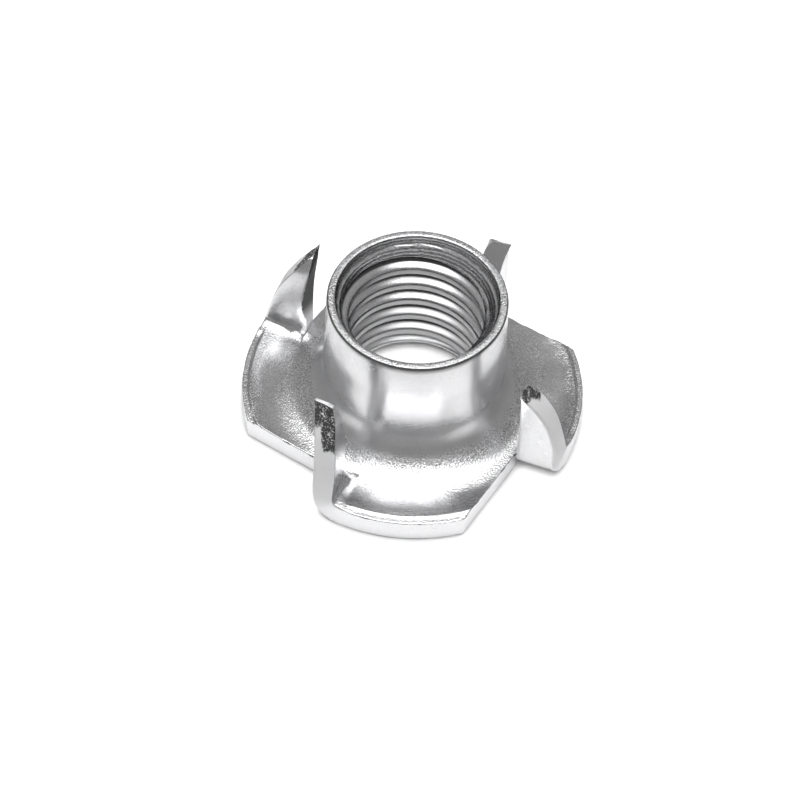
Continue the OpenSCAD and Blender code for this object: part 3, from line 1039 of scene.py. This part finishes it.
# Painted shade in the thread: dark where the roots lie in shadow, less on the crests, which mirror the dark
# bore.
root_painted_shade = nodes.ramp(from_axis, ROOT_FROM * MM, ROOT_FULL * MM, 0.0, ROOT_SHADE)
in_thread = nodes.ramp(from_axis, THREAD_OUT * MM, THREAD_END * MM, 1.0, 0.0)
tapped = nodes.math("MULTIPLY", in_thread, nodes.ramp(above, THREAD_LOW * MM, THREAD_FULL * MM))
tapped = nodes.math("MULTIPLY", tapped, nodes.math("SUBTRACT", 1.0, cone_mark))
crest_painted_shade = nodes.ramp(from_axis, CREST_FULL * MM, CREST_END * MM, CREST_SHADE, 0.0)
thread_painted_shade = nodes.math("MAXIMUM", nodes.math("MULTIPLY", root_painted_shade, tapped), crest_painted_shade)
# All painted shade together darkens the tone.
shade = nodes.math("MAXIMUM", thread_painted_shade, nodes.mark("painted_shade"))
tone = nodes.math("MULTIPLY", tone, nodes.math("SUBTRACT", 1.0, shade))
clean = nodes.math("ADD", grit, nodes.math("MULTIPLY", coarse, COARSE_FLECK))
sooty = nodes.math("MULTIPLY", torn_mark, nodes.ramp(clean, *FLECK_STEP, 1.0, 0.0))
tone = nodes.mix(sooty, tone, SOOT)
blue = nodes.math("MULTIPLY", tone, BLUE)
colour = nodes.add("ShaderNodeCombineColor", None, Red=tone, Green=tone, Blue=blue)
mirror = nodes.math("SUBTRACT", 1.0, nodes.math("MULTIPLY", edge_mark, MATT_EDGE))
metal = nodes.add("ShaderNodeBsdfPrincipled", None, Base_Color=colour.outputs[0], Metallic=mirror,
                  Roughness=rough, Normal=bump.outputs[0])
nodes.add("ShaderNodeOutputMaterial", None, Surface=metal.outputs[0])
skin.materials.clear()
skin.materials.append(zinc)
print("zinc plate:", len(zinc.node_tree.nodes), "nodes")

# %% [markdown]
# The camera stands where a catalogue would show the nut from: above the front, looking down
# steeply, with a long lens, so that the flange, the prongs and the thread are all seen. It could be
# aimed with a Track To constraint, but three directions worked out from its turn, rise and roll
# put it in place exactly, and the tent below uses the same turn.

# %% Camera
CAM_TURN, CAM_RISE, CAM_ROLL = np.radians([30.5, 52.29, 2.97])
CAM_AWAY = 156.8
CAM_SHIFT = (-0.77, -0.03)          # sideways and upwards, so that the nut sits as framed
SENSOR, LENS = 36, 108.36           # millimetres on the camera itself
CLIP_NEAR, CLIP_FAR = 0.005, 10     # metres
back = np.array([np.sin(CAM_TURN) * np.cos(CAM_RISE), -np.cos(CAM_TURN) * np.cos(CAM_RISE),
                 np.sin(CAM_RISE)])
right = np.array([np.cos(CAM_TURN), np.sin(CAM_TURN), 0.0])
up = np.cross(back, right)
cam_place = CAM_AWAY * back + CAM_SHIFT[0] * right + CAM_SHIFT[1] * up
rolled_right = np.cos(CAM_ROLL) * right + np.sin(CAM_ROLL) * up
rolled_up = np.cos(CAM_ROLL) * up - np.sin(CAM_ROLL) * right
lens = bpy.data.cameras.new("camera")
lens.sensor_width = SENSOR
lens.lens = LENS
lens.clip_start = CLIP_NEAR
lens.clip_end = CLIP_FAR
camera = bpy.data.objects.new("camera", lens)
pose = np.eye(4)
pose[:3, :3] = np.stack([rolled_right, rolled_up, back], 1)
pose[:3, 3] = cam_place * MM
camera.matrix_world = Matrix(pose.tolist())
bpy.context.scene.collection.objects.link(camera)
bpy.context.scene.camera = camera
print("camera at", (cam_place * MM).round(4).tolist())

# %% [markdown]
# A small nut stands on white paper that runs out of sight. The paper near it is pale and bounces
# light under the flange. Further out it is darker, or it would light the nut from all sides, and a
# glow that only the camera and reflections see keeps it white. In the nook where metal touches
# paper that glow fades, which leaves the soft contact shadow.

# %% Floor
FLOOR_R, FLOOR_Z = 400.0, -0.01
HUB = 0.001                            # radius of the floor's innermost ring
PAPER_NEAR, PAPER_FAR = 0.92, 0.3      # how pale the paper is near the nut and far from it
PAPER_FROM, PAPER_TO = 14.4, 17.6      # millimetres from the axis, between which it changes
LENS_NEAR, LENS_FAR = 0.5, 1.1         # glow that the camera sees, near the nut and far from it
METAL_NEAR = 0.3                       # glow that reflections see, near the nut
NOOK, NOOK_STEP = 0.6, (0.4, 0.9)      # reach of the shade where the nut touches the paper, and its edge
FLOOR_RINGS, FLOOR_SEGMENTS = 6, 64


def disc(radius, rings, segments):
    """Points and quads of a flat round sheet: rings at equal steps, the middle one very small."""
    r = np.linspace(HUB, radius, rings)[:, None]
    a = np.linspace(0, 2 * np.pi, segments + 1)[None, :]
    xyz = np.stack([r * np.cos(a), r * np.sin(a), np.zeros((rings, segments + 1))], -1)
    return xyz, grid_faces(xyz.shape, 0)


def stage_piece(name, xyz, quads, material):
    """A mesh that belongs to the stage, not to the object."""
    mesh = mesh_of(name, xyz.reshape(-1, 3) * MM, quads)
    mesh.materials.append(material)
    mesh.shade_smooth()
    piece = bpy.data.objects.new(name, mesh)
    bpy.context.scene.collection.objects.link(piece)
    return piece


paper, nodes = material_named("white_paper")
paper.cycles.emission_sampling = "NONE"
path = nodes.add("ShaderNodeLightPath")
spot = nodes.add("ShaderNodeTexCoord").outputs["Object"]
away = nodes.add("ShaderNodeVectorMath", {"operation": "LENGTH"}, i0=spot).outputs["Value"]
pale = nodes.ramp(away, PAPER_FROM * MM, PAPER_TO * MM, PAPER_NEAR, PAPER_FAR)
grey = nodes.add("ShaderNodeCombineColor", None, Red=pale, Green=pale, Blue=pale)
sheet = nodes.add("ShaderNodeBsdfDiffuse", None, Color=grey.outputs[0])
lens_glow = nodes.ramp(away, PAPER_FROM * MM, PAPER_TO * MM, LENS_NEAR, LENS_FAR)
metal_glow = nodes.ramp(away, PAPER_FROM * MM, PAPER_TO * MM, METAL_NEAR, 0.0)
to_lens = nodes.math("MULTIPLY", path.outputs["Is Camera Ray"], lens_glow)
to_metal = nodes.math("MULTIPLY", path.outputs["Is Glossy Ray"], metal_glow)
nook = nodes.add("ShaderNodeAmbientOcclusion", {"samples": 6}, Distance=NOOK * MM).outputs["AO"]
strength = nodes.math("MULTIPLY", nodes.math("ADD", to_lens, to_metal), nodes.ramp(nook, *NOOK_STEP))
glow = nodes.add("ShaderNodeEmission", None, Color=(1, 1, 1, 1), Strength=strength)
both = nodes.add("ShaderNodeAddShader", None, i0=sheet.outputs[0], i1=glow.outputs[0])
nodes.add("ShaderNodeOutputMaterial", None, Surface=both.outputs[0])
floor_xyz, floor_quads = disc(FLOOR_R, FLOOR_RINGS, FLOOR_SEGMENTS)
floor_xyz[..., 2] = FLOOR_Z
stage_piece("floor", floor_xyz, floor_quads, paper)
print("floor:", floor_xyz.shape[:2])

# %% [markdown]
# Bright metal shows the room, so it is lit in a tent: a lit panel above and greyer cloth at the
# sides. Lamps would leave hot spots on a mirror. The tent is a half sphere that glows, which only
# reflections and soft light can see, so every view keeps a clean background. Where the panel lies
# is told by slopes: how far sideways or forwards a direction goes while it rises by one.

# %% Tent
TENT_R = 380.0
TENT_ROWS, TENT_COLS = 30, 65
LEAST_RISE = 0.02                                # keeps the slopes of level directions finite
DARK_TURN = np.radians(30)                       # the darkest cloth, from the camera to the right
PANEL, TENT_DARK, TENT_BACK = 3.2, 0.25, 0.33    # glow of the panel, of the darkest cloth and opposite
# The panel's edges as slopes from the nut, sideways, to the front and to the back, and their blur.
PANEL_SIDE, PANEL_FRONT, PANEL_REAR, PANEL_BLUR = 0.45, 0.66, 0.44, 0.15

tent_cloth, nodes = material_named("tent_cloth")
tent_cloth.cycles.emission_sampling = "NONE"
place_out = nodes.add("ShaderNodeTexCoord").outputs["Object"]
aim = nodes.add("ShaderNodeVectorMath", {"operation": "NORMALIZE"}, i0=place_out).outputs[0]
to_camera = np.array([np.sin(CAM_TURN), -np.cos(CAM_TURN), 0])
to_right = np.array([np.cos(CAM_TURN), np.sin(CAM_TURN), 0])


def cosine_to(direction, axis):
    """The cosine between a direction and a fixed axis: their dot product."""
    node = nodes.add("ShaderNodeVectorMath", {"operation": "DOT_PRODUCT"}, i0=direction, i1=tuple(axis))
    return node.outputs["Value"]


upward = nodes.math("MAXIMUM", cosine_to(aim, (0, 0, 1)), LEAST_RISE)
slope_front = nodes.math("DIVIDE", cosine_to(aim, to_camera), upward)
slope_side = nodes.math("ABSOLUTE", nodes.math("DIVIDE", cosine_to(aim, to_right), upward))


def within(slope, edge):
    """1 on the panel, 0 off it, across one of its edges, with a smooth step between."""
    node = nodes.add("ShaderNodeMapRange", {"interpolation_type": "SMOOTHSTEP"}, i0=slope,
                     i1=edge + PANEL_BLUR, i2=edge - PANEL_BLUR, i3=0.0, i4=1.0)
    return node.outputs[0]


lit = nodes.math("MULTIPLY", within(slope_side, PANEL_SIDE), within(slope_front, PANEL_FRONT))
lit = nodes.math("MULTIPLY", lit, within(nodes.math("MULTIPLY", slope_front, -1.0), PANEL_REAR))
front_right = np.cos(DARK_TURN) * to_camera + np.sin(DARK_TURN) * to_right
side = nodes.ramp(cosine_to(aim, front_right), -1.0, 1.0, TENT_BACK, TENT_DARK)
strength = nodes.mix(lit, side, PANEL)
cloth = nodes.add("ShaderNodeEmission", None, Color=(1, 1, 1, 1), Strength=strength)
nodes.add("ShaderNodeOutputMaterial", None, Surface=cloth.outputs[0])
rise = np.linspace(np.radians(-1), np.pi / 2 - 1e-4, TENT_ROWS)[:, None]
swing = np.linspace(0, 2 * np.pi, TENT_COLS)[None, :]
tent_xyz = TENT_R * np.stack([np.cos(rise) * np.cos(swing), np.cos(rise) * np.sin(swing),
                              np.sin(rise) * np.ones_like(swing)], -1)
tent = stage_piece("tent", tent_xyz, grid_faces(tent_xyz.shape, 0), tent_cloth)
tent.visible_camera = False
tent.visible_shadow = False
print("tent:", tent_xyz.shape[:2])

# %% [markdown]
# The world behind everything is white to the camera and in reflections, and dim as a light, so it
# fills the shadows a little without bleaching the metal. A picture of a studio could stand here,
# but one number is enough for white. The Standard view shows colours as they are written.

# %% World and colour
SKY_LIGHT, SKY_SEEN = 0.4, 1.0
world = bpy.data.worlds.new("world")
bpy.context.scene.world = world
world.use_nodes = True
nodes = Nodes(world.node_tree)
path = nodes.add("ShaderNodeLightPath")
seen = nodes.math("MAXIMUM", path.outputs["Is Camera Ray"], path.outputs["Is Glossy Ray"])
seen = nodes.math("MAXIMUM", seen, path.outputs["Is Transmission Ray"])
brightness = nodes.mix(seen, SKY_LIGHT, SKY_SEEN)
sky = nodes.add("ShaderNodeBackground", None, Color=(1, 1, 1, 1), Strength=brightness)
nodes.add("ShaderNodeOutputWorld", None, Surface=sky.outputs[0])
bpy.context.scene.view_settings.view_transform = "Standard"
print("sky: light", SKY_LIGHT, "seen as", SKY_SEEN)
